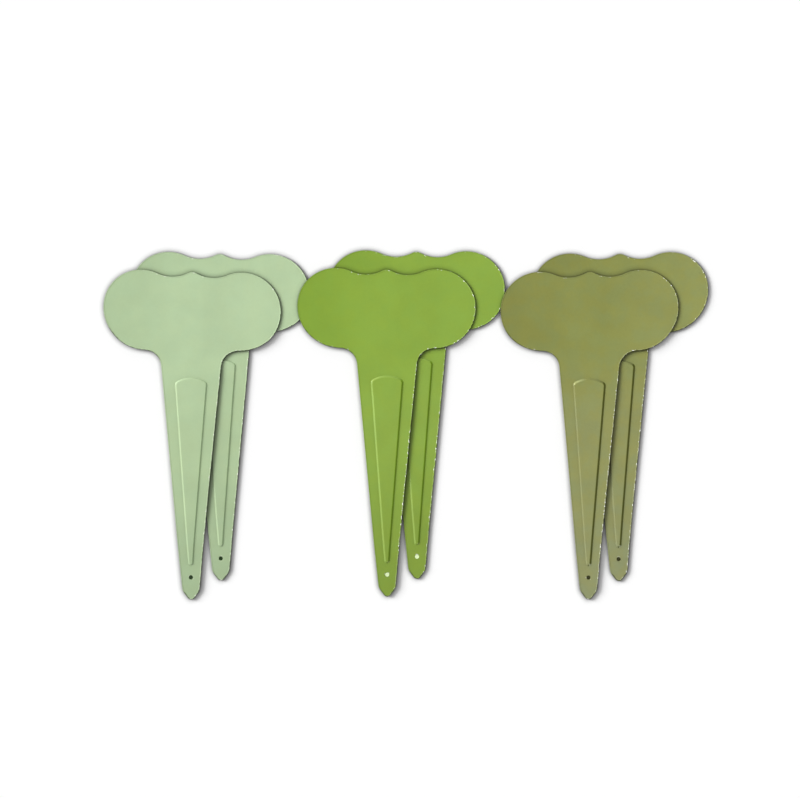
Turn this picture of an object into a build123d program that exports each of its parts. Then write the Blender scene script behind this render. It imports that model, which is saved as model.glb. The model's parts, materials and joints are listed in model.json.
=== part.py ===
from build123d import *
import os
from math import acos, atan2, cos, degrees, radians, sin, sqrt, tan
from scipy.optimize import linprog

os.makedirs("parts", exist_ok=True)

# A set of six plant label stakes, laid in three overlapping pairs with the heads towards +Y.
# Each stake is one piece of sheet: a two-lobed head, a long tapering shaft with a raised panel,
# a blunt pointed tip and a small hole near it. Millimetres, +Z up, the table is Z = 0.

# Sheet and outline of one stake, its own x measured from its axis and its own y from where the
# two sides of its tip would meet, which is also the level of the shaft's foot
sheet_thickness = 0.5
stake_length = 149.8
head_width = 80.0
lobe_upper_radius = 17.3
lobe_lower_radius = 18.8
valley_radius = 16.0
valley_depth = 2.8
crest_radius = 4.0
neck_radius = 8.0
shaft_foot_half_width = 3.4
shaft_side_angle = 5.45
shoulder_radius = 5.0
tip_side_angle = 37.0
tip_radius = 0.9
rim_chamfer = 0.1

# Hole near the tip
hole_radius = 1.0
hole_height = 11.15

# Raised panel, measured along the foot of its slope
panel_foot_height = 16.1
panel_foot_half_width = 1.5
panel_side_top = 99.2
panel_side_angle = 4.33
panel_arch_rise = 2.35
panel_corner_radius = 2.3
panel_rise = 0.6
slope_width = 0.95
crease_inner_radius = 0.15

# Places of the set on the table, where each stake is placed and turned about its hole
pale_bright_gap = 8.7
bright_olive_gap = 11.1
bright_pair_lead = 0.9
olive_pair_lag = 0.4
pair_shift_x = 13.6
pair_shift_y = 8.3

# Gap left between a leaning stake and what it lies on
seat_clearance = 0.05

# Where a lobe's lower arc ends under the shaft, as a share of the shaft's half width
under_shaft_share = 0.5
# Steps by which an outline's edges and a panel's slope are followed when a stake is seated
edge_steps = 12
slope_steps = 2

# Sizes that follow from the ones above
shaft_slope = tan(radians(shaft_side_angle))
tip_slope = tan(radians(tip_side_angle))
panel_slope = tan(radians(panel_side_angle))
lobe_centre_height = stake_length - lobe_upper_radius
neck_height = lobe_centre_height - lobe_lower_radius
slope_turn = atan2(panel_rise, slope_width)
hollow_inset = sheet_thickness * tan(slope_turn / 2)
crease_outer_radius = crease_inner_radius + sheet_thickness
root_depth = sheet_thickness / 2
root_inset = -slope_width * root_depth / panel_rise


def shaft_side(height):
    """Half the width of the shaft at a height above the tip."""
    return shaft_foot_half_width + height * shaft_slope


def blank_outline(place):
    """Outline of the flat blank, without its hole."""
    lobe_x = head_width / 2 - lobe_upper_radius
    valley_height = stake_length - valley_depth + valley_radius
    valley_lift = valley_height - lobe_centre_height
    valley_x = lobe_x - sqrt((lobe_upper_radius + valley_radius) ** 2 - valley_lift**2)
    crest_drop = sqrt((valley_radius + crest_radius) ** 2 - valley_x**2)
    crest_turn = degrees(atan2(crest_drop, valley_x))
    lobe_turn = degrees(atan2(valley_lift, valley_x - lobe_x))
    lower_x = head_width / 2 - lobe_lower_radius
    lower_end = max(under_shaft_share * shaft_side(neck_height), lower_x - lobe_lower_radius)
    lower_turn = degrees(acos((lower_end - lower_x) / lobe_lower_radius))
    shoulder_height = shaft_foot_half_width / (tip_slope - shaft_slope)
    shoulder = (shaft_side(shoulder_height), shoulder_height)
    shaft_top = (shaft_side(lobe_centre_height), lobe_centre_height)
    with BuildSketch(place) as outline:
        with BuildLine():
            CenterArc((0, valley_height - crest_drop), crest_radius, crest_turn, 90 - crest_turn)
            CenterArc((valley_x, valley_height), valley_radius, 180 + crest_turn, lobe_turn - crest_turn)
            CenterArc((lobe_x, lobe_centre_height), lobe_upper_radius, 0, lobe_turn)
            lower_arc = CenterArc((lower_x, lobe_centre_height), lobe_lower_radius, 0, -lower_turn)
            Line(lower_arc @ 1, (0, (lower_arc @ 1).Y))
            mirror(about=Plane.YZ)
        make_face()
        with BuildLine():
            Polyline((0, 0), shoulder, shaft_top, (0, lobe_centre_height))
            mirror(about=Plane.YZ)
        make_face()
        fillet(outline.vertices().sort_by_distance((0, 0))[0], tip_radius)
        for side in (-1, 1):
            corner = (side * shaft_side(shoulder_height), shoulder_height)
            fillet(outline.vertices().sort_by_distance(corner)[0], shoulder_radius)
            neck = (side * shaft_side(neck_height), neck_height)
            fillet(outline.vertices().sort_by_distance(neck)[0], neck_radius)
    return outline.sketch


def panel_outline(place, inset):
    """Outline of the raised panel, drawn in by inset from the foot of its slope."""
    foot_arc_radius = panel_foot_half_width / cos(radians(panel_side_angle))
    foot_height = panel_foot_height + foot_arc_radius - panel_foot_half_width * panel_slope
    foot = (panel_foot_half_width, foot_height)
    top_x = panel_foot_half_width + (panel_side_top - foot_height) * panel_slope
    top = (top_x, panel_side_top)
    arch = (0, panel_side_top + panel_arch_rise)
    with BuildSketch(place) as outline:
        with BuildLine():
            TangentArc(foot, (-panel_foot_half_width, foot_height), tangent=(-panel_slope, -1))
            Line(foot, top)
            ThreePointArc(top, arch, (-top_x, panel_side_top))
            Line((-top_x, panel_side_top), (-panel_foot_half_width, foot_height))
        make_face()
        for side in (-1, 1):
            corner = (side * top_x, panel_side_top)
            fillet(outline.vertices().sort_by_distance(corner)[0], panel_corner_radius)
        if inset:
            offset(amount=-inset, mode=Mode.REPLACE)
    return outline.sketch


def stamping():
    """One stake lying square with its tip at the origin: cut, punched, and its panel pressed up."""
    top = Plane.XY.offset(sheet_thickness)
    with BuildPart() as stake:
        add(blank_outline(Plane.XY))
        extrude(amount=sheet_thickness)
        chamfer(stake.faces().sort_by(Axis.Z)[-1].edges(), rim_chamfer)
        with Locations((0, hole_height, 0)):
            Hole(hole_radius)
        root = panel_outline(top.offset(-root_depth), root_inset)
        loft([root, panel_outline(top.offset(panel_rise), slope_width)], ruled=True)
        fillet(stake.faces().sort_by(Axis.Z)[-1].edges(), crease_outer_radius)
        hollow_root = panel_outline(Plane.XY.offset(-root_depth), hollow_inset + root_inset)
        hollow_top = panel_outline(Plane.XY.offset(panel_rise), hollow_inset + slope_width)
        loft([hollow_root, hollow_top], ruled=True, mode=Mode.SUBTRACT)
        under_wires = stake.faces().sort_by(Axis.Z)[0].inner_wires()
        fillet(under_wires.sort_by(SortBy.LENGTH)[-1].edges(), crease_outer_radius)
    return stake.part


def table_place(hole_x, hole_y, turn):
    """Plane of a stake lying flat, from its hole's place and its turn clockwise in degrees."""
    lean = radians(turn)
    tip = (hole_x - hole_height * sin(lean), hole_y - hole_height * cos(lean))
    return Plane(origin=(*tip, 0), x_dir=(cos(lean), -sin(lean), 0), z_dir=(0, 0, 1))


def contact_points(sheet, support, height):
    """Points at a height along the rim of the patch where a sheet lies over a support."""
    patch = sheet & support
    shares = [step / edge_steps for step in range(edge_steps + 1)]
    spots = [edge @ share for edge in patch.edges() for share in shares]
    return [(spot.X, spot.Y, height + seat_clearance) for spot in spots]


def seat(place, flat_places):
    """Plane of a stake that leans on flat ones: the lowest one over every point it could touch."""
    sheet = blank_outline(place)
    balance = sheet.face().center()
    level_sheet = sheet - panel_outline(place, hollow_inset)
    points = contact_points(sheet, sheet, 0)
    for flat in flat_places:
        points += contact_points(level_sheet, blank_outline(flat), sheet_thickness)
        for step in range(slope_steps + 1):
            share = step / slope_steps
            level = panel_outline(flat, slope_width * share)
            points += contact_points(level_sheet, level, sheet_thickness + panel_rise * share)
    rows = [(-1, -x, -y) for x, y, _ in points]
    heights = [-z for _, _, z in points]
    best = linprog((1, balance.X, balance.Y), A_ub=rows, b_ub=heights, bounds=(None, None))
    rise, along_x, along_y = best.x
    tip = place.origin
    side = place.x_dir
    return Plane(
        origin=(tip.X, tip.Y, rise + along_x * tip.X + along_y * tip.Y),
        x_dir=(side.X, side.Y, along_x * side.X + along_y * side.Y),
        z_dir=(-along_x, -along_y, 1),
    )


# Holes of the front stakes along the row, and each stake's turn clockwise from square
bright_x = head_width + pale_bright_gap
olive_x = bright_x + head_width + bright_olive_gap
pairs = {
    "pale_green": (0, 0, 0.22, -0.26),
    "bright_green": (bright_x, bright_pair_lead, 0.11, -0.08),
    "olive_green": (olive_x, -olive_pair_lag, 0.32, 0.17),
}


def front_place(pair, origin):
    """Plane of a pair's front stake as if it lay flat."""
    hole_x, hole_y, front_turn, _ = pairs[pair]
    return table_place(hole_x - origin.X, hole_y - origin.Y, front_turn)


def back_place(pair, origin):
    """Plane of a pair's back stake, which lies flat on the table."""
    hole_x, hole_y, _, back_turn = pairs[pair]
    return table_place(hole_x - origin.X + pair_shift_x, hole_y - origin.Y + pair_shift_y, back_turn)


# The middle of the whole set is the origin
first_hole = Vector(0, 0, 0)
outlines = [blank_outline(front_place(pair, first_hole)) for pair in pairs]
outlines += [blank_outline(back_place(pair, first_hole)) for pair in pairs]
middle = Compound(children=outlines).bounding_box().center()

places = {}
neighbour = []
for pair in pairs:
    back = back_place(pair, middle)
    places[f"{pair}_back_stake"] = back
    places[f"{pair}_front_stake"] = seat(front_place(pair, middle), [back] + neighbour)
    neighbour = [back]

stamped = stamping()
for label, place in places.items():
    with BuildPart(place) as stake:
        add(stamped)
    stake.part.label = label
    export_step(stake.part, f"parts/{label}.step")
    print(label, "tip", place.origin, "normal", place.z_dir)
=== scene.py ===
import json
import math

import bpy
import numpy as np
from mathutils import Matrix, Vector, noise
from mathutils.geometry import delaunay_2d_cdt


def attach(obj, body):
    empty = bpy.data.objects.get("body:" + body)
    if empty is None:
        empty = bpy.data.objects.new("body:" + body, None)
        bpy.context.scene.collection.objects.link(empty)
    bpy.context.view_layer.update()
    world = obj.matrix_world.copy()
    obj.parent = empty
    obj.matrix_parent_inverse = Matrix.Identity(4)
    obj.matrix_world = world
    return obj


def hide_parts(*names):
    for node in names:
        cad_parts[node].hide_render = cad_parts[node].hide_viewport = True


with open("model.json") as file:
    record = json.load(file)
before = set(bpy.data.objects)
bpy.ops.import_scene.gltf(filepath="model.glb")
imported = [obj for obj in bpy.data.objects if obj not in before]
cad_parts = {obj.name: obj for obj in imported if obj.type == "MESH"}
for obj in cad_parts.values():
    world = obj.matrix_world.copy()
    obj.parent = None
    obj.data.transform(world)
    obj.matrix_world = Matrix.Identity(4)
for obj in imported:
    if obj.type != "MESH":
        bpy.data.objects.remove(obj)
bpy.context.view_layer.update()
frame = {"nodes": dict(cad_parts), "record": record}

# Outline of one stake, its own x measured from its axis and its own y from where the two sides of
# its tip would meet, which is also the level of the shaft's foot
stake_length = 0.1498
head_width = 0.0800
lobe_upper_radius = 0.0173
lobe_lower_radius = 0.0188
valley_radius = 0.0160
valley_depth = 0.0028
crest_radius = 0.0040
neck_radius = 0.0080
shaft_foot_half_width = 0.0034
shaft_side_angle = math.radians(5.45)
shoulder_radius = 0.0050
tip_side_angle = math.radians(37)
tip_radius = 0.0018

# Sheet and hole
sheet_thickness = 0.0005
hole_height = 0.01115
hole_radius = 0.00090

# Raised panel, measured along the foot of its slope in the solids; here the slope starts a little
# further in. Both its bends have the crest's outer radius, and inner radii at its foot on top and
# at its crest on the underside.
panel_foot_height = 0.0161
panel_foot_half_width = 0.0015
panel_side_top = 0.0992
panel_side_angle = math.radians(4.33)
panel_arch_rise = 0.00235
panel_corner_radius = 0.0023
panel_rise = 0.00042
slope_width = 0.00060
slope_inset = 0.00030
crest_bend_radius = 0.00045
foot_bend_radius = 0.00015
under_bend_radius = 0.00015
slope_turn = math.atan2(panel_rise, slope_width)
hollow_inset = slope_inset + sheet_thickness * math.tan(slope_turn / 2)
# Level strips either side of the panel's slope, so that its shading ends there
panel_margin = 0.0002

# Rim of the sheet from its flat top round to its flat underside: how far in from the outline, and
# how high, both as shares of the thickness. The punch has left a low lip all round.
rim_shares = [
    (1.60, 0.84), (1.45, 0.84), (1.30, 0.84), (1.12, 0.86), (0.92, 0.90), (0.74, 0.945), (0.58, 0.98),
    (0.44, 0.998), (0.32, 1.00), (0.20, 0.985), (0.10, 0.93), (0.03, 0.86), (0.00, 0.78), (0.00, 0.45),
    (0.02, 0.22), (0.08, 0.09), (0.22, 0.02), (0.40, 0.00), (0.80, 0.00), (0.90, 0.00),
]
# The hole's edge in the same terms
hole_shares = [
    (1.00, 0.84), (0.60, 0.84), (0.30, 0.82), (0.10, 0.76), (0.00, 0.65), (0.00, 0.25), (0.10, 0.08),
    (0.50, 0.00), (0.80, 0.00), (0.90, 0.00),
]
top_level = sheet_thickness * rim_shares[0][1]

# Mesh spacing
rim_gap = 0.00045
grid_gap = 0.0015
bend_steps = 4
hole_points = 40
arc_least_points = 3
line_least_points = 2
# Flat fields are filled in millimetres, with a tolerance that suits them
fill_scale = 1000
fill_tolerance = 1e-7
sliver_area = 1e-14

# Gentle waves of the sheet, and how far apart in the noise one stake's lie from the next one's
wave_height = 0.000018
wave_length = 0.022
wave_step = 7

# The heads sit a little askew: how far each is shifted up its stake, how far its right lobe is
# higher than its middle, how far it is shifted right, and how much wider each half of it is
askew_start = 0.108
askew_end = 0.122
askew = {
    "pale_green_front_stake": (-0.00040, -0.00060, 0.00030, 0.00013),
    "pale_green_back_stake": (-0.00052, -0.00062, 0.00033, 0.00033),
    "bright_green_front_stake": (-0.00015, -0.00025, -0.00025, 0.00034),
    "bright_green_back_stake": (-0.00040, -0.00025, 0.00000, 0.00010),
    "olive_green_front_stake": (0.00008, 0.00058, 0.00000, 0.00026),
    "olive_green_back_stake": (-0.00003, 0.00040, 0.00036, 0.00007),
}
# How far each tip is shifted right and up
tip_askew_end = 0.030
tip_askew = {
    "pale_green_front_stake": (0.00028, -0.00035),
    "pale_green_back_stake": (0.00010, 0.00000),
    "bright_green_front_stake": (0.00030, 0.00010),
    "bright_green_back_stake": (0.00012, -0.00020),
    "olive_green_front_stake": (0.00025, 0.00012),
    "olive_green_back_stake": (0.00035, 0.00012),
}

# A front stake's tip droops, its shaft bows up and its right lobe sags towards the stake under it
droop = 0.00072
droop_reach = 0.070
bow = 0.00030
bow_start = 0.030
bow_end = 0.118
sag = {"pale_green": 0.00122, "bright_green": 0.00103, "olive_green": 0.00103}
sag_start = 0.100
sag_end = 0.113
sag_inner = 0.005

# Where the key light comes from, left and a little from above in the picture, and the side on which
# painted shade darkens a stake's edge most. Marks on the mesh say how far an edge faces away from
# the one and to the other.
key_azimuth = math.radians(160)
shade_side_azimuth = math.radians(-70)
away = -np.array((math.cos(key_azimuth), math.sin(key_azimuth)))
shade_side = np.array((math.cos(shade_side_azimuth), math.sin(shade_side_azimuth)))
# The hole's rim counts as facing hardly either way, which keeps its painted shade faint and gives
# it no painted highlight
hole_facing = (0.0, -0.05)
# A distance from the edge that stands for far inside
far_inside = 1.0


def arc(centre, radius, start, end, hollow=False):
    """Points along an arc and their outward normals; the sheet lies outside a hollow arc's circle."""
    count = max(arc_least_points, math.ceil(abs(end - start) * radius / rim_gap))
    turns = np.linspace(start, end, count, endpoint=False)
    rays = np.column_stack((np.cos(turns), np.sin(turns)))
    return np.array(centre) + radius * rays, -rays if hollow else rays


def line(start, end):
    """Points along a straight run and their outward normals, with the sheet on the run's left."""
    run = np.array(end) - np.array(start)
    length = np.linalg.norm(run)
    count = max(line_least_points, math.ceil(length / rim_gap))
    shares = np.linspace(0, 1, count, endpoint=False)[:, None]
    outward = np.array((run[1], -run[0])) / length
    return np.array(start) + shares * run, np.tile(outward, (count, 1))


def both_sides(runs, top):
    """Closed outline from the runs of its right half, from the lowest point up to the top one."""
    points = np.vstack([run[0] for run in runs] + [[(0, top)]])
    normals = np.vstack([run[1] for run in runs] + [[(0, 1)]])
    flip = np.array((-1, 1))
    return np.vstack((points, points[1:-1][::-1] * flip)), np.vstack((normals, normals[1:-1][::-1] * flip))


def angle_of(start, end):
    """Direction from one point to another."""
    return math.atan2(end[1] - start[1], end[0] - start[0])


def side_normal(angle):
    """Outward normal of a right side that leans outward by an angle on its way up."""
    return np.array((math.cos(angle), -math.sin(angle)))


def neck_centre(lower):
    """Centre of the neck's hollow arc, which touches the shaft's side and the lobe's lower arc."""
    slope = math.tan(shaft_side_angle)
    side_x = shaft_foot_half_width + lower[1] * slope
    reach = side_x + neck_radius / math.cos(shaft_side_angle) - lower[0]
    span = lobe_lower_radius + neck_radius
    root = reach**2 * slope**2 - (1 + slope**2) * (reach**2 - span**2)
    fall = (-reach * slope - math.sqrt(root)) / (1 + slope**2)
    return lower + np.array((reach + slope * fall, fall))


def scallop_centres(upper):
    """Centres of the valley between a lobe and the middle of the head, and of the crest there."""
    valley_y = stake_length - valley_depth + valley_radius
    lift = valley_y - upper[1]
    valley_x = upper[0] - math.sqrt((lobe_upper_radius + valley_radius) ** 2 - lift**2)
    crest_y = valley_y - math.sqrt((valley_radius + crest_radius) ** 2 - valley_x**2)
    return (valley_x, valley_y), (0, crest_y)


def blank_outline():
    """Outline of the flat blank, from the tip's lowest point round by the right."""
    side_out = side_normal(shaft_side_angle)
    tip_out = side_normal(tip_side_angle)
    tip = np.array((0, tip_radius / math.sin(tip_side_angle)))
    # The shoulder's centre lies its radius inside both the tip's side and the shaft's
    inset = (-shoulder_radius, shaft_foot_half_width * side_out[0] - shoulder_radius)
    shoulder = np.linalg.solve((tip_out, side_out), inset)
    lobe_y = stake_length - lobe_upper_radius
    lower = np.array((head_width / 2 - lobe_lower_radius, lobe_y))
    upper = np.array((head_width / 2 - lobe_upper_radius, lobe_y))
    neck = neck_centre(lower)
    valley, crest = scallop_centres(upper)
    lobe_turn = angle_of(upper, valley)
    crest_turn = angle_of(crest, valley)
    return both_sides(
        [
            arc(tip, tip_radius, -math.pi / 2, -tip_side_angle),
            line(tip + tip_radius * tip_out, shoulder + shoulder_radius * tip_out),
            arc(shoulder, shoulder_radius, -tip_side_angle, -shaft_side_angle),
            line(shoulder + shoulder_radius * side_out, neck - neck_radius * side_out),
            arc(neck, neck_radius, math.pi - shaft_side_angle, angle_of(neck, lower), hollow=True),
            arc(lower, lobe_lower_radius, angle_of(lower, neck), 0),
            arc(upper, lobe_upper_radius, 0, lobe_turn),
            arc(valley, valley_radius, math.pi + lobe_turn, math.pi + crest_turn, hollow=True),
            arc(crest, crest_radius, crest_turn, math.pi / 2),
        ],
        crest[1] + crest_radius,
    )


def panel_outline():
    """Outline of the foot of the panel's slope."""
    side_out = side_normal(panel_side_angle)
    foot_radius = panel_foot_half_width / math.cos(panel_side_angle)
    foot_centre = np.array((0, panel_foot_height + foot_radius))
    foot = foot_centre + foot_radius * side_out
    top_x = foot[0] + (panel_side_top - foot[1]) * math.tan(panel_side_angle)
    arch_radius = (top_x**2 + panel_arch_rise**2) / (2 * panel_arch_rise)
    arch = np.array((0, panel_side_top + panel_arch_rise - arch_radius))
    # The corner's centre lies on the side moved in by its radius, and as far inside the arch
    base = foot - panel_corner_radius * side_out
    along = np.array((-side_out[1], side_out[0]))
    middle = along @ (base - arch)
    rest = (base - arch) @ (base - arch) - (arch_radius - panel_corner_radius) ** 2
    corner = base + (-middle + math.sqrt(middle**2 - rest)) * along
    corner_turn = angle_of(arch, corner)
    return both_sides(
        [
            arc(foot_centre, foot_radius, -math.pi / 2, -panel_side_angle),
            line(foot, corner + panel_corner_radius * side_out),
            arc(corner, panel_corner_radius, -panel_side_angle, corner_turn),
            arc(arch, arch_radius, corner_turn, math.pi / 2),
        ],
        panel_side_top + panel_arch_rise,
    )


def hole_outline():
    """The hole's circle, with normals that point out of the sheet and into the hole."""
    turns = np.linspace(0, 2 * math.pi, hole_points, endpoint=False)
    inward = -np.column_stack((np.cos(turns), np.sin(turns)))
    return np.array((0, hole_height)) - hole_radius * inward, inward


def press_profile(foot_bend, crest_bend, shift):
    """Section of the panel's slope: distances in from its foot, heights, and how pressed it is."""
    turns = np.linspace(0, slope_turn, bend_steps + 1)
    foot_in = shift - foot_bend * math.tan(slope_turn / 2) + foot_bend * np.sin(turns)
    foot_up = foot_bend * (1 - np.cos(turns))
    crest_in = shift + slope_width + crest_bend * math.tan(slope_turn / 2) - crest_bend * np.sin(turns)
    crest_up = panel_rise - crest_bend * (1 - np.cos(turns))
    # A bend is half pressed where it starts, and fully where it meets the straight of the slope
    pressed = (1 + turns / slope_turn) / 2
    outer_end = (foot_in[0] - panel_margin, 0, 0)
    foot = zip(foot_in, foot_up, pressed)
    crest = zip(crest_in[::-1], crest_up[::-1], pressed[::-1])
    inner_end = (crest_in[0] + panel_margin, panel_rise, 0)
    return [outer_end, *foot, *crest, inner_end]


def facing_of(outward):
    """How far outward normals face away from the key light, and how far to the side of painted shade."""
    return outward @ away, outward @ shade_side


def inside(points, loop):
    """Which points lie inside a closed loop."""
    hit = np.zeros(len(points), bool)
    for (x0, y0), (x1, y1) in zip(loop, np.roll(loop, -1, axis=0)):
        if y0 != y1:
            between = (points[:, 1] > min(y0, y1)) & (points[:, 1] <= max(y0, y1))
            hit ^= between & (points[:, 0] < x0 + (points[:, 1] - y0) * (x1 - x0) / (y1 - y0))
    return hit


def distance_to(points, loop):
    """How far points lie from the nearest point of a loop."""
    return np.sqrt(((points[:, None, :] - loop[None, :, :]) ** 2).sum(2)).min(1)


def fill(loops, spare, keep):
    """Triangles of a flat field between loops of points, with spare points spread inside it."""
    points = np.vstack(loops + [spare])
    edges = []
    start = 0
    for loop in loops:
        count = len(loop)
        edges += [(start + i, start + (i + 1) % count) for i in range(count)]
        start += count
    coords = [Vector(p) for p in points * fill_scale]
    corners, _, faces, sources = delaunay_2d_cdt(coords, edges, [], 0, fill_tolerance)[:4]
    if len(corners) != len(points):
        raise ValueError("the flat field's points ran together")
    order = np.array([numbers[0] for numbers in sources])
    triangles = order[np.array(faces)]
    first, second, third = points[triangles].transpose(1, 0, 2)
    sound = np.abs(np.cross(second - first, third - first)) > sliver_area
    return triangles[sound & keep(points[triangles].mean(1))]


def hex_grid():
    """Points in even triangles over the whole stake."""
    rows = np.arange(0, stake_length, grid_gap * math.sqrt(3) / 2)
    columns = np.arange(-head_width / 2, head_width / 2, grid_gap)
    return np.array([(x + (i % 2) * grid_gap / 2, y) for i, y in enumerate(rows) for x in columns])


class Stamping:
    """The points, faces and marks of one stake lying square, tip at the origin, on z = 0."""

    def __init__(self):
        self.points = []
        self.faces = []
        self.marks = {"from_edge": [], "facing": [], "below": [], "pressed": []}
        self.rim, rim_out = blank_outline()
        self.panel, self.panel_out = panel_outline()
        hole, hole_out = hole_outline()
        rim_rings = self.cut_edge(self.rim, rim_out, rim_shares, facing_of(rim_out), outward=True)
        hole_rings = self.cut_edge(hole, hole_out, hole_shares, hole_facing, outward=False)
        self.fill_fields(rim_rings, hole_rings, self.press_panel())
        self.points = np.vstack(self.points)
        self.marks = {name: np.concatenate(values) for name, values in self.marks.items()}

    def add(self, plan, height, from_edge=far_inside, facing=0.0, below=0.0, pressed=0.0):
        """Adds points at a height and gives their numbers."""
        start = sum(len(p) for p in self.points)
        self.points.append(np.column_stack((plan, np.broadcast_to(height, len(plan)))))
        given = {"from_edge": from_edge, "facing": facing, "below": below, "pressed": pressed}
        for name, value in given.items():
            self.marks[name].append(np.broadcast_to(value, len(plan)))
        return np.arange(start, start + len(plan))

    def plan_of(self, numbers):
        """Where points lie seen from above, from their numbers."""
        return np.vstack(self.points)[numbers][:, :2]

    def rings(self, sections, outward):
        """Joins closed rings of points, listed from the outer one in or, if outward, from the inner one."""
        for ring, after in zip(sections, sections[1:]):
            corners = (ring, np.roll(ring, -1), np.roll(after, -1), after)
            self.faces += np.column_stack(corners[::-1] if outward else corners).tolist()
        return sections

    def cut_edge(self, loop, out, shares, facing, outward):
        """Rings round the edge of a cut, from the field on top to the field on the underside."""
        sections = []
        for share, up in shares:
            field = (share, up) in (shares[0], shares[-1])
            from_edge = far_inside if field else share * sheet_thickness
            plan = loop - share * sheet_thickness * out
            sections.append(self.add(plan, up * sheet_thickness, from_edge, *facing))
        return self.rings(sections, outward)

    def press_panel(self):
        """Rings up the slope of the panel, on top and on the underside."""
        upper = press_profile(foot_bend_radius, crest_bend_radius, slope_inset)
        lower = press_profile(crest_bend_radius, under_bend_radius, hollow_inset)
        facing = facing_of(self.panel_out)
        sides = []
        for level, profile in ((top_level, upper), (0, lower)):
            sections = []
            for inset, up, pressed in profile:
                plan = self.panel - inset * self.panel_out
                sections.append(self.add(plan, level + up, far_inside, *facing, pressed))
            sides.append(self.rings(sections, outward=level == 0))
        return sides

    def spare_points(self):
        """Points spread over the field round the panel, and over the panel."""
        room = grid_gap / 2 + panel_margin
        grid = hex_grid()
        on_sheet = inside(grid, self.rim)
        rim_width = rim_shares[0][0] * sheet_thickness
        on_sheet[on_sheet] = distance_to(grid[on_sheet], self.rim) > room + rim_width
        grid = grid[on_sheet]
        off_foot = distance_to(grid, self.panel)
        in_panel = inside(grid, self.panel)
        hole_room = hole_radius + hole_shares[0][0] * sheet_thickness + room
        off_hole = np.linalg.norm(grid - (0, hole_height), axis=1) > hole_room
        crest_room = room + slope_inset + slope_width + crest_bend_radius / 2
        field = grid[~in_panel & (off_foot > room + foot_bend_radius / 2) & off_hole]
        return field, grid[in_panel & (off_foot > crest_room)]

    def fill_fields(self, rim, hole, panel):
        """Flat fields round the panel and on it, alike on top and on the underside."""
        field, top = self.spare_points()
        outer, bore, foot = [self.plan_of(rings[0]) for rings in (rim, hole, panel[0])]
        crest = self.plan_of(panel[0][-1])
        flat = fill(
            [outer, bore, foot],
            field,
            lambda middles: inside(middles, outer) & ~inside(middles, bore) & ~inside(middles, foot),
        )
        raised = fill([crest], top, lambda middles: inside(middles, crest))
        for number, level in ((0, top_level), (-1, 0)):
            side = panel[number]
            turned = slice(None, None, -1 if level == 0 else 1)
            slots = np.concatenate((rim[number], hole[number], side[0], self.add(field, level)))
            self.faces += slots[flat[:, turned]].tolist()
            slots = np.concatenate((side[-1], self.add(top, level + panel_rise)))
            self.faces += slots[raised[:, turned]].tolist()


def place_of(node):
    """Where a stake lies: from its square place to its place in the set, read from the frame."""
    mount = next(m for m in frame["record"]["mounts"] if m["name"] == node.replace("_stake", "_tip_hole"))
    middle, up = Vector(mount["pos_m"]), Vector(mount["axis"]).normalized()
    faces = frame["nodes"][node].data.polygons
    area = sum(face.area for face in faces)
    centroid = sum((face.area * face.center for face in faces), Vector()) / area
    along = centroid - middle
    along = (along - along.dot(up) * up).normalized()
    across = along.cross(up)
    turn = Matrix((across, along, up)).transposed()
    origin = middle - turn @ Vector((0, hole_height, sheet_thickness / 2))
    return np.array(turn), np.array(origin)


def wavy(points, seed):
    """Small heights of a sheet that isn't quite flat, in its own frame."""
    spots = (Vector((x / wave_length, y / wave_length, seed)) for x, y, _ in points)
    return wave_height * np.array([noise.noise(spot) for spot in spots])


def smooth(values, start, end):
    """From 0 at the start to 1 at the end, without a corner at either."""
    share = np.clip((values - start) / (end - start), 0, 1)
    return share**2 * (3 - 2 * share)


def flex(points, colour):
    """Bends a front stake: its tip droops, its shaft bows up and its right lobe sags."""
    x, y = points[:, 0], points[:, 1]
    points[:, 2] -= droop * np.clip(1 - y / droop_reach, 0, 1) ** 2
    bow_share = np.clip((y - bow_start) / (bow_end - bow_start), 0, 1)
    points[:, 2] += bow * np.sin(math.pi * bow_share) ** 2
    outward = np.clip((x - sag_inner) / (head_width / 2 - sag_inner), 0, 1)
    points[:, 2] -= sag[colour] * smooth(y, sag_start, sag_end) * outward


def set_askew(points, node):
    """Shifts, leans and widens a stake's head, and shifts its tip."""
    shift, lean, right, widen = askew[node]
    x, y = points[:, 0].copy(), points[:, 1].copy()
    lobe_x = head_width / 2 - lobe_upper_radius
    on_head = smooth(y, askew_start, askew_end)
    points[:, 0] += on_head * (right + widen * 2 * x / head_width)
    points[:, 1] += on_head * (shift + lean * x / lobe_x)
    points[:, :2] += (1 - smooth(y, 0, tip_askew_end))[:, None] * tip_askew[node]


def stake_mesh(name, node, colour, seed):
    """The mesh of one stake in its place, with the marks that its paint reads."""
    points = stamping.points.copy()
    points[:, 2] += wavy(points, seed)
    if "front" in node:
        flex(points, colour)
    set_askew(points, node)
    turn, origin = place_of(node)
    mesh = bpy.data.meshes.new(name)
    mesh.from_pydata((points @ turn.T + origin).tolist(), [], stamping.faces)
    mesh.update()
    marks = dict(stamping.marks, across=points[:, 0] * 2 / head_width, along=points[:, 1] / stake_length)
    for mark, values in marks.items():
        mesh.attributes.new(mark, "FLOAT", "POINT").data.foreach_set("value", values.astype(np.float32))
    mesh.shade_smooth()
    stake = bpy.data.objects.new(name, mesh)
    bpy.context.scene.collection.objects.link(stake)
    return stake


# How far off things still darken a surface as painted shade, how strongly, and how finely that is
# sampled
shade_reach = 0.0026
shade_power = 1.75
shade_samples = 8
# How far the edge of a round spot fades, as a share of its radius
spot_fade_share = 1.1
# The mix node's sockets for colours: how much, and the two colours, and what comes out
mix_inputs = (0, 6, 7)
mix_output = 2


def opaque(colour):
    """A colour with its alpha."""
    return (*colour, 1.0)


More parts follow.
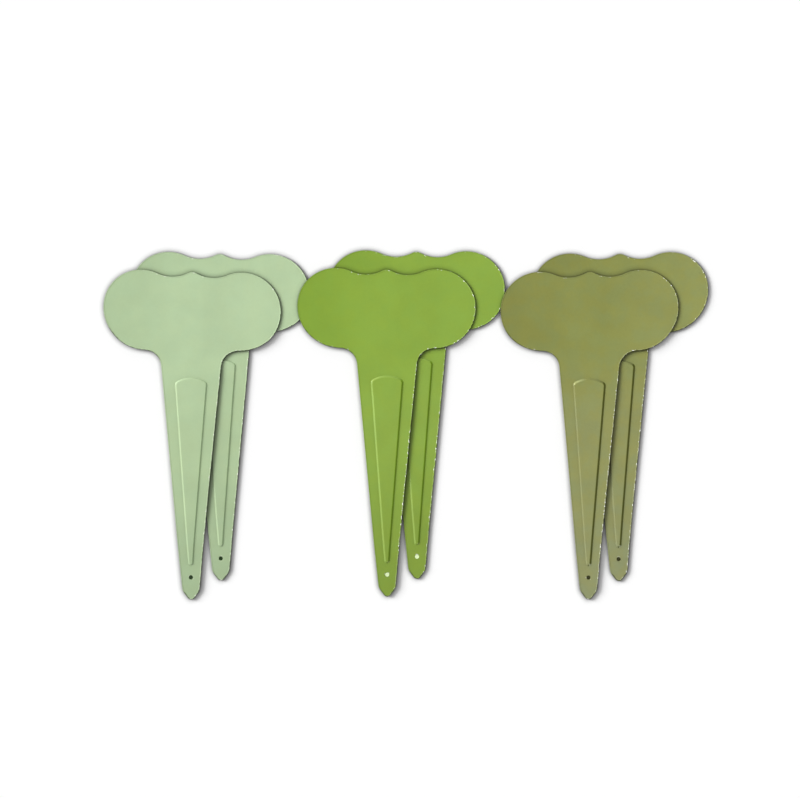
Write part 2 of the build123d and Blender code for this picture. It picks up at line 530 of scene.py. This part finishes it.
class Graph:
    """A short way to write a material's nodes."""

    def __init__(self, owner):
        owner.use_nodes = True
        self.tree = owner.node_tree
        self.tree.nodes.clear()

    def node(self, kind, inputs=None, **settings):
        """A node with its settings made and its sockets linked or set."""
        made = self.tree.nodes.new(kind)
        for key, value in settings.items():
            setattr(made, key, value)
        for key, value in (inputs or {}).items():
            if isinstance(value, bpy.types.NodeSocket):
                self.tree.links.new(value, made.inputs[key])
            else:
                made.inputs[key].default_value = value
        return made

    def finish(self, kind, shader):
        """Ends the tree with an output of a kind."""
        self.tree.links.new(shader.outputs[0], self.node(kind).inputs["Surface"])

    def attribute(self, name):
        """A mark of the mesh."""
        return self.node("ShaderNodeAttribute", attribute_name=name).outputs["Fac"]

    def math(self, operation, *values):
        return self.node("ShaderNodeMath", dict(enumerate(values)), operation=operation).outputs[0]

    def product(self, first, *others):
        for other in others:
            first = self.math("MULTIPLY", first, other)
        return first

    def ramp(self, value, span, levels=(0.0, 1.0)):
        """A smooth way from one level to another over a span of values."""
        inputs = {
            "Value": value,
            "From Min": span[0],
            "From Max": span[1],
            "To Min": levels[0],
            "To Max": levels[1],
        }
        return self.node("ShaderNodeMapRange", inputs, interpolation_type="SMOOTHSTEP").outputs[0]

    def band(self, value, start, end):
        """One between two spans of values, fading in over the first and out over the second."""
        return self.product(self.ramp(value, start), self.ramp(value, end, (1.0, 0.0)))

    def mix(self, share, first, second, blend="MIX"):
        """A share of the second colour over the first."""
        inputs = dict(zip(mix_inputs, (share, first, second)))
        return self.node("ShaderNodeMix", inputs, data_type="RGBA", blend_type=blend).outputs[mix_output]

    def shaded(self, colour, shade):
        """A colour made darker or lighter by a number."""
        grey = self.node("ShaderNodeCombineColor", {"Red": shade, "Green": shade, "Blue": shade}).outputs[0]
        return self.mix(1.0, colour, grey, "MULTIPLY")

    def object_place(self):
        return self.node("ShaderNodeTexCoord").outputs["Object"]

    def noise(self, size, detail):
        inputs = {"Vector": self.object_place(), "Scale": 1 / size, "Detail": detail}
        return self.node("ShaderNodeTexNoise", inputs).outputs["Fac"]

    def cloudy(self, look, levels=(0.0, 1.0)):
        """Noise of a size and detail, with a span of its values spread over two levels."""
        size, detail, low, high = look
        return self.ramp(self.noise(size, detail), (low, high), levels)

    def spots(self, centres, radius):
        """One within a radius of any of the points given."""
        place = self.object_place()
        total = 0.0
        for centre in centres:
            inputs = {0: place, 1: centre}
            off = self.node("ShaderNodeVectorMath", inputs, operation="DISTANCE").outputs["Value"]
            near = self.ramp(off, (radius, spot_fade_share * radius), (1.0, 0.0))
            total = self.math("MAXIMUM", total, near)
        return total

    def occlusion_shade(self):
        """How open the sky is past what lies close by, raised so that what touches shows clearly. It
        darkens base colours as painted shade.
        """
        inputs = {"Distance": shade_reach}
        near = self.node("ShaderNodeAmbientOcclusion", inputs, samples=shade_samples).outputs["AO"]
        return self.math("POWER", near, shade_power)

    def seen_directly(self):
        """One for rays from the camera, straight or by way of metal or glass."""
        path = self.node("ShaderNodeLightPath").outputs
        passed = self.math("MAXIMUM", path["Is Glossy Ray"], path["Is Transmission Ray"])
        return self.math("MAXIMUM", path["Is Camera Ray"], passed)


# Where a stake's tones meet: as shares of its length from the tip, and of half its width
stem_tone_span = (0.03, 0.45)
head_tone_span = (0.48, 0.80)
left_tone_span = (-1.0, 0.0)
right_tone_span = (0.0, 0.9)

# Mottling: the size, detail and span of values of each noise, and the levels of the cloudy one
cloud_look = (0.016, 3.0, 0.30, 0.70)
grain_look = (0.0012, 2.0, 0.25, 0.75)
hue_look = (0.0065, 3.0, 0.35, 0.65)
cloud_levels = (0.965, 1.03)

# The painted light and shade on the panel's slopes: how pressed the sheet is where they come in,
# how far it faces away from the light where the lit tint gives way to the other, and how far it
# faces both ways at once, or neither, where the corners' painted glint comes in
pressed_span = (0.0, 0.6)
slope_shade_span = (-0.2, 0.6)
painted_glint_span = (0.35, 0.75)

# Rims: their bands wander in and out by the stray, and are given by distances in from the edge.
# A painted highlight over the lip's lit flank lies in one band, and chipped spots, partly unpainted
# steel and partly painted glints, in another; both less so on the head than on the shaft.
stray_look = (0.0014, 3.0, 0.30, 0.70)
stray_reach = (-0.00014, 0.00014)
wear_and_highlight_span = (0.60, 0.75)
head_wear_and_highlight_share = 0.55
rim_highlight_start = (0.00014, 0.00022)
rim_highlight_end = (0.00036, 0.00048)
rim_highlight_facing = (0.0, 0.6)
rim_highlight_look = (0.0017, 2.0, 0.44, 0.60)
rim_highlight_levels = (0.0, 0.26)
rim_highlight_tone = (0.90, 0.92, 0.75)
chip_start = (0.00010, 0.00018)
chip_end = (0.00042, 0.00054)
chip_and_glint_facing = (-0.7, 0.2)
chip_size = 0.0009
chip_detail = 2.0
chip_wear = 0.05
chip_span = (0.635, 0.665)
chip_and_glint_tone = (0.96, 0.97, 0.90)

# Painted shade reaches in from the rims' edge, further on the lower side, and furthest at the tip:
# where it fades out, how much further it goes there, and how dark it is off the lower side and on it
rim_shade_edge = (0.00014, 0.00024)
shade_side_facing = (-0.15, 0.40)
shade_side_span = (0.01, 0.10)
shade_side_widths = (0.00018, 0.00004)
rim_shade_levels = (0.12, 0.74)
rim_shade_tone = (0.02, 0.025, 0.01)

# Surface of the enamel
peel_size = 0.0011
peel_detail = 1.0
peel_strength = 0.25
peel_depth = 0.00002
gloss_look = (0.008, 3.0, 0.30, 0.70)
gloss_levels = (0.34, 0.44)
enamel_specular = 0.2


def toned(g, tones):
    """Tones from the tip up the shaft and across the head, darker at the tip and at the head's left,
    lighter to its right.
    """
    tip, shaft, left, middle, right = [opaque(tone) for tone in tones]
    along, across = g.attribute("along"), g.attribute("across")
    head = g.mix(g.ramp(across, left_tone_span), left, middle)
    head = g.mix(g.ramp(across, right_tone_span), head, right)
    stem = g.mix(g.ramp(along, stem_tone_span), tip, shaft)
    return g.mix(g.ramp(along, head_tone_span), stem, head)


def mottled(g, colour, mottling):
    """Clouds, a fine grain, and slight changes of hue."""
    grain, red, blue = mottling
    clouds = g.cloudy(cloud_look, cloud_levels)
    grains = g.cloudy(grain_look, (1.0 - grain, 1.0 + grain))
    colour = g.shaded(colour, g.product(clouds, grains))
    warm = opaque((1.0 + red, 1.0, 1.0 - blue))
    cool = opaque((1.0 - red, 1.0, 1.0 + blue))
    return g.mix(1.0, colour, g.mix(g.cloudy(hue_look), warm, cool), "MULTIPLY")


def painted_slope_light_and_shade(g, colour, creases):
    """Painted light and shade on the panel's slopes by how they face the light, and a painted glint where
    it turns between.
    """
    lit, far, painted_glint = [opaque(painted_slope_tint) for painted_slope_tint in creases]
    facing, below = g.attribute("facing"), g.attribute("below")
    painted_slope_tint = g.mix(g.ramp(facing, slope_shade_span), lit, far)
    painted_slope_tint = g.mix(g.ramp(g.product(facing, below), painted_glint_span), painted_slope_tint, painted_glint)
    return g.mix(g.ramp(g.attribute("pressed"), pressed_span), colour, painted_slope_tint, "MULTIPLY")


def rim_wear_and_highlight(g, colour, edge, chips):
    """A painted highlight over the lip of the rims that face away from the light, and chipped spots on most
    rims, partly unpainted steel and partly painted glints.
    """
    facing = g.attribute("facing")
    wear_and_highlight = g.ramp(g.attribute("along"), wear_and_highlight_span, (chips, head_wear_and_highlight_share * chips))
    lip = g.product(g.band(edge, rim_highlight_start, rim_highlight_end), g.ramp(facing, rim_highlight_facing))
    painted_rim_highlight = g.product(lip, wear_and_highlight, g.cloudy(rim_highlight_look, rim_highlight_levels))
    colour = g.mix(painted_rim_highlight, colour, opaque(rim_highlight_tone))
    unpainted_and_glint = g.ramp(g.math("MULTIPLY_ADD", wear_and_highlight, chip_wear, g.noise(chip_size, chip_detail)), chip_span)
    chip_and_glint = g.product(g.band(edge, chip_start, chip_end), g.ramp(facing, chip_and_glint_facing), unpainted_and_glint)
    return g.mix(chip_and_glint, colour, opaque(chip_and_glint_tone))


def painted_rim_shade(g, colour, edge):
    """A dark line of painted shade along the rims, most on their lower side."""
    shade_side_share = g.ramp(g.attribute("below"), shade_side_facing)
    width = g.product(shade_side_share, g.ramp(g.attribute("along"), shade_side_span, shade_side_widths))
    outside = g.ramp(g.math("SUBTRACT", edge, width), rim_shade_edge, (1.0, 0.0))
    painted_shade_share = g.product(outside, g.ramp(shade_side_share, (0.0, 1.0), rim_shade_levels))
    return g.mix(painted_shade_share, colour, opaque(rim_shade_tone))


def paint(name, tones, creases, chips, mottling):
    """Satin enamel on sheet steel, chipped at its rims, with painted light and shade on its rims and panel
    and painted shade from occlusion.
    """
    material = bpy.data.materials.new(name)
    g = Graph(material)
    colour = painted_slope_light_and_shade(g, mottled(g, toned(g, tones), mottling), creases)
    edge = g.math("ADD", g.attribute("from_edge"), g.cloudy(stray_look, stray_reach))
    colour = painted_rim_shade(g, rim_wear_and_highlight(g, colour, edge, chips), edge)
    peel = {"Height": g.noise(peel_size, peel_detail), "Strength": peel_strength, "Distance": peel_depth}
    skin = {
        # Base colour darkened by occlusion: painted shade
        "Base Color": g.shaded(colour, g.occlusion_shade()),
        "Roughness": g.cloudy(gloss_look, gloss_levels),
        "Specular IOR Level": enamel_specular,
        "Normal": g.node("ShaderNodeBump", peel).outputs[0],
    }
    g.finish("ShaderNodeOutputMaterial", g.node("ShaderNodeBsdfPrincipled", skin))
    return material


# The paints: tones of the tip, of the shaft, and of the left, middle and right of the head; painted
# light and shade tints of the panel's slopes towards the light, away from it, and painted glints at
# the corners between; how chipped the rims are and how strong their painted highlight is; and how
# far the grain, the red and the blue of the mottling go either way
paints = {
    "pale_green": {
        "tones": [
            (0.365, 0.480, 0.283),
            (0.425, 0.555, 0.323),
            (0.414, 0.545, 0.319),
            (0.456, 0.597, 0.356),
            (0.474, 0.618, 0.369),
        ],
        "creases": [(1.02, 1.02, 1.02), (1.07, 1.12, 1.05), (1.12, 1.12, 1.14)],
        "chips": 0.8,
        "mottling": (0.008, 0.007, 0.008),
    },
    "bright_green": {
        "tones": [
            (0.210, 0.313, 0.042),
            (0.255, 0.388, 0.058),
            (0.221, 0.357, 0.037),
            (0.251, 0.393, 0.050),
            (0.254, 0.400, 0.054),
        ],
        "creases": [(1.13, 1.11, 1.40), (0.77, 0.88, 0.26), (1.35, 1.25, 1.80)],
        "chips": 1.1,
        "mottling": (0.011, 0.015, 0.035),
    },
    "olive_green": {
        "tones": [
            (0.266, 0.285, 0.130),
            (0.276, 0.290, 0.106),
            (0.223, 0.240, 0.061),
            (0.249, 0.272, 0.075),
            (0.276, 0.298, 0.093),
        ],
        "creases": [(0.92, 0.92, 0.95), (0.36, 0.385, 0.085), (1.60, 1.60, 2.00)],
        "chips": 1.1,
        "mottling": (0.015, 0.026, 0.070),
    },
}

# The stakes themselves
stamping = Stamping()
enamels = {colour: paint(f"{colour}_enamel", **look) for colour, look in paints.items()}
for number, node in enumerate(frame["nodes"]):
    colour = node.rsplit("_", 2)[0]
    stake = stake_mesh(node.replace("_stake", "_sheet"), node, colour, number * wave_step)
    stake.data.materials.append(enamels[colour])
    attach(stake, node.replace("_stake", ""))
    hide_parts(node)

# Soft white table, just under the sheets, that keeps their shadows
table_reach = 1.5
table_depth = 0.03
table_drop = 0.0007
table_tone = (0.97, 0.97, 0.97)
table_glow = (0.02, 0.02, 0.02)
# Through the holes of the bright stakes the table shows a painted glow of light, through the others
# painted shade that is dark. This shows only where something covers the table closely, so not under
# a stake that is lifted.
painted_hole_light_and_shade = {
    "pale_green": (0.019, 0.043, 0.013),
    "bright_green": (0.80, 0.96, 0.55),
    "olive_green": (0.040, 0.041, 0.012),
}
spot_radius = 0.0014
covered_span = (0.3, 0.7)
hole_shade_black = (0.0, 0.0, 0.0)


def box_mesh(name, low, high):
    """A box between two corners."""
    corners = [(x, y, z) for z in (low[2], high[2]) for y in (low[1], high[1]) for x in (low[0], high[0])]
    faces = [(0, 2, 3, 1), (4, 5, 7, 6), (0, 1, 5, 4), (2, 6, 7, 3), (0, 4, 6, 2), (1, 3, 7, 5)]
    mesh = bpy.data.meshes.new(name)
    mesh.from_pydata(corners, [], faces)
    made = bpy.data.objects.new(name, mesh)
    bpy.context.scene.collection.objects.link(made)
    return made


def under_holes(colour):
    """The points on the table below the holes of one colour's stakes."""
    mounts = frame["record"]["mounts"]
    holes = [m["pos_m"] for m in mounts if m["name"].startswith(colour) and m["name"].endswith("_tip_hole")]
    return [(x, y, -table_drop) for x, y, _ in holes]


def table_surface(name):
    """Matt white that glows a little to the camera, darkened by occlusion as painted shadow, with a painted
    glow of light and painted shade in spots under the holes.
    """
    material = bpy.data.materials.new(name)
    g = Graph(material)
    occlusion_shade = g.occlusion_shade()
    covered = g.ramp(occlusion_shade, covered_span, (1.0, 0.0))
    tone = opaque(table_tone)
    glow = opaque(table_glow)
    for colour, painted_hole_tone in painted_hole_light_and_shade.items():
        spot = g.product(covered, g.spots(under_holes(colour), spot_radius))
        tone = g.mix(spot, tone, opaque(hole_shade_black))
        glow = g.mix(spot, glow, opaque(painted_hole_tone))
    # Base colour darkened by occlusion: painted shadow
    matt = {"Base Color": g.shaded(tone, occlusion_shade), "Roughness": 1.0, "Specular IOR Level": 0.0}
    soft = g.node("ShaderNodeBsdfPrincipled", matt)
    glowing = g.node("ShaderNodeEmission", {"Color": glow, "Strength": g.seen_directly()})
    added = g.node("ShaderNodeAddShader", {0: soft.outputs[0], 1: glowing.outputs[0]})
    g.finish("ShaderNodeOutputMaterial", added)
    return material


table_low = (-table_reach, -table_reach, -table_depth)
table_high = (table_reach, table_reach, -table_drop)
table = box_mesh("floor", table_low, table_high)
table.data.materials.append(table_surface("soft_white_table"))

# Key light from the left and a little from above in the picture, and an even fill from all round
# that leans towards it
key_elevation = math.radians(27.5)
key_softness = math.radians(29)
key_share = 0.52
light_level = 0.931
fill_level = light_level * (1.0 - key_share)
fill_lean = 0.65
to_light = Vector((
    math.cos(key_elevation) * math.cos(key_azimuth),
    math.cos(key_elevation) * math.sin(key_azimuth),
    math.sin(key_elevation),
))
lamp = bpy.data.lights.new("key", "SUN")
lamp.angle = key_softness
lamp.energy = light_level * key_share * math.pi / math.sin(key_elevation)
key = bpy.data.objects.new("key", lamp)
key.rotation_euler = to_light.to_track_quat("Z", "Y").to_euler()
key.location = to_light
bpy.context.scene.collection.objects.link(key)

# The sky is the fill, and white where the camera sees it
world = bpy.data.worlds.new("studio")
bpy.context.scene.world = world
g = Graph(world)
looking = g.node("ShaderNodeTexCoord").outputs["Generated"]
toward = g.node("ShaderNodeVectorMath", {0: looking, 1: to_light}, operation="DOT_PRODUCT").outputs["Value"]
fill_light = g.math("MULTIPLY_ADD", toward, fill_level * fill_lean, fill_level)
strength = g.math("MAXIMUM", g.seen_directly(), fill_light)
sky = g.node("ShaderNodeBackground", {"Color": (1.0, 1.0, 1.0, 1.0), "Strength": strength})
g.finish("ShaderNodeOutputWorld", sky)

# Camera straight above, with a long lens: the width and centre of what it sees of the table
view_width = 0.3620
view_centre = (-0.0024, 0.01196)
sensor_width = 36.0
lens = 120.0
camera_reach = 20.0
camera_data = bpy.data.cameras.new("camera")
camera_data.sensor_fit = "HORIZONTAL"
camera_data.sensor_width = sensor_width
camera_data.lens = lens
camera_data.clip_end = camera_reach
camera = bpy.data.objects.new("camera", camera_data)
camera.location = (*view_centre, view_width * lens / sensor_width)
bpy.context.scene.collection.objects.link(camera)
bpy.context.scene.camera = camera
bpy.context.scene.view_settings.view_transform = "Standard"
